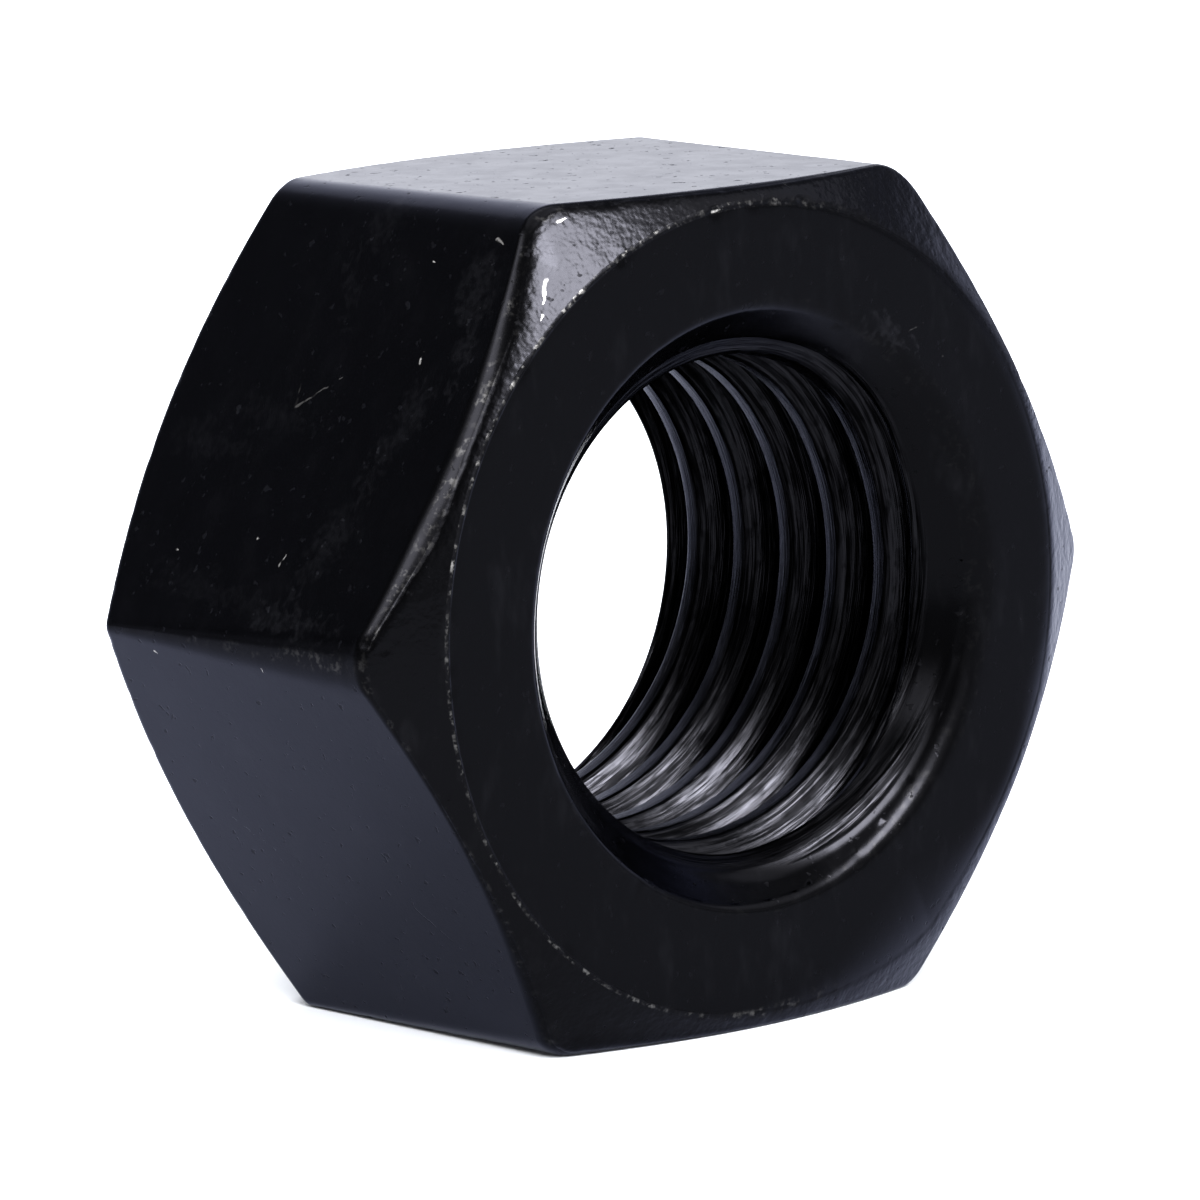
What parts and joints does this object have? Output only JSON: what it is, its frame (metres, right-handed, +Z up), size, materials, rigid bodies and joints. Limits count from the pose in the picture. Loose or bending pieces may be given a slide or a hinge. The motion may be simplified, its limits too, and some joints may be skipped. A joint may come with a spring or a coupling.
{
  "type": "hexagon nut",
  "caption": "Plain full-height hexagon nut with chamfered faces, a countersunk threaded bore and a black oxide finish.",
  "frame": {"origin": "centre of the nut, on the thread axis and halfway between the bearing faces", "axes": "+Y along the thread axis, from the front bearing face to the back one; +Z up, square to the wrench flat that the nut stands on; +X towards a corner of the hexagon"},
  "size_m": [0.0414, 0.0202, 0.036],
  "materials": {
    "black_oxide_steel": "black oxide on forged steel, lightly oiled, semi-gloss, with small nicks and scratches"
  },
  "bodies": {
    "root": {"hex_nut": "black_oxide_steel"}
  },
  "joints": []
}
